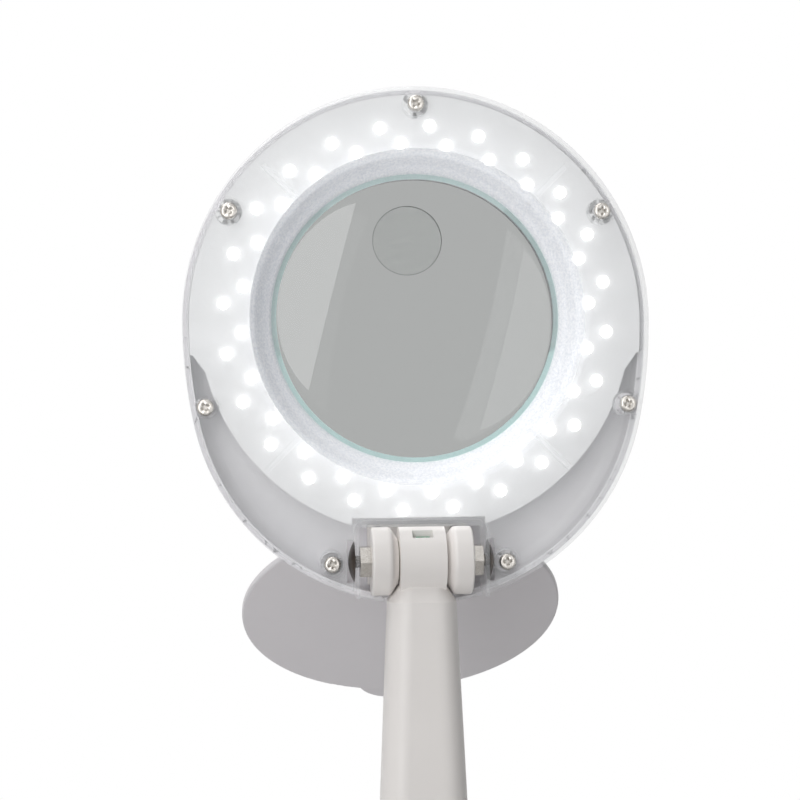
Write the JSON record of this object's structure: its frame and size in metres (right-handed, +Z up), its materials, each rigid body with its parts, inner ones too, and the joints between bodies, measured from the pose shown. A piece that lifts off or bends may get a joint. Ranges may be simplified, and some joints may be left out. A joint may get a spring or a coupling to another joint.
{
  "type": "magnifying lamp",
  "caption": "Free-standing illuminated magnifier: a tilting round head with a lens, an LED ring and a hinged lens lid on a tapered column with a weighted oval base.",
  "frame": {"origin": "centre of the base's flat underside, on the surface it stands on", "axes": "+Z up, +X to the right seen from the lit side, -Y the way the lit side of the head faces"},
  "size_m": [0.2, 0.2485, 0.4195],
  "materials": {
    "white_abs": "satin",
    "clear_acrylic": "gloss",
    "reflector_white": "matte",
    "led_resin": "gloss",
    "board_white": "matte",
    "board_green": "satin",
    "lens_glass": "gloss",
    "zinc_steel": "gloss",
    "dark_steel": "satin",
    "washer_nylon": "matte",
    "wire_insulation": "matte",
    "lid_plastic": "satin",
    "cast_steel": "matte",
    "plate_plastic": "matte",
    "black_rubber": "matte",
    "black_plastic": "satin",
    "button_grey": "satin"
  },
  "bodies": {
    "base": {"rubber_pad": "black_rubber", "base_plate": "plate_plastic", "base_weight": "cast_steel", "base_cover": "white_abs", "base_screws": "zinc_steel", "driver_board": "board_green", "push_switch": "black_plastic", "dc_inlet": "black_plastic", "pivot_bracket": "white_abs", "pivot_flange_screws": "zinc_steel", "pivot_bolt": "dark_steel", "pivot_nut": "dark_steel", "pivot_washers": "washer_nylon"},
    "button": {"power_button": "button_grey"},
    "column": {"column_foot": "white_abs", "column_front_shell": "white_abs", "column_rear_shell": "white_abs", "column_screws": "zinc_steel", "column_neck": "white_abs", "column_lead": "wire_insulation"},
    "head": {"head_housing": "white_abs", "head_bracket": "white_abs", "bracket_screws": "zinc_steel", "hinge_shaft": "zinc_steel", "hinge_nuts": "zinc_steel", "hinge_friction_washers": "washer_nylon", "hinge_caps": "dark_steel", "led_board": "board_white", "leds": "led_resin", "reflector_plate": "reflector_white", "main_lens": "lens_glass", "insert_lens": "lens_glass", "clear_cover": "clear_acrylic", "cover_screws": "zinc_steel", "lid_pin": "zinc_steel"},
    "lid": {"lens_lid": "lid_plastic"}
  },
  "joints": [
    {"name": "power_button", "type": "slide", "parent": "base", "child": "button", "axis": [0, 0, -1], "range_m": [0, 0.0015], "stiffness_N_per_m": 800},
    {"name": "arm_tilt", "type": "hinge", "parent": "base", "child": "column", "pos_m": [0, 0.03, 0.042], "axis": [1, 0, 0], "range_deg": [-15, 45]},
    {"name": "head_tilt", "type": "hinge", "parent": "column", "child": "head", "pos_m": [0, 0.03, 0.257], "axis": [1, 0, 0], "range_deg": [-15, 90]},
    {"name": "lid_hinge", "type": "hinge", "parent": "head", "child": "lid", "pos_m": [0, 0.056, 0.2718], "axis": [1, 0, 0], "range_deg": [-8, 127]}
  ]
}
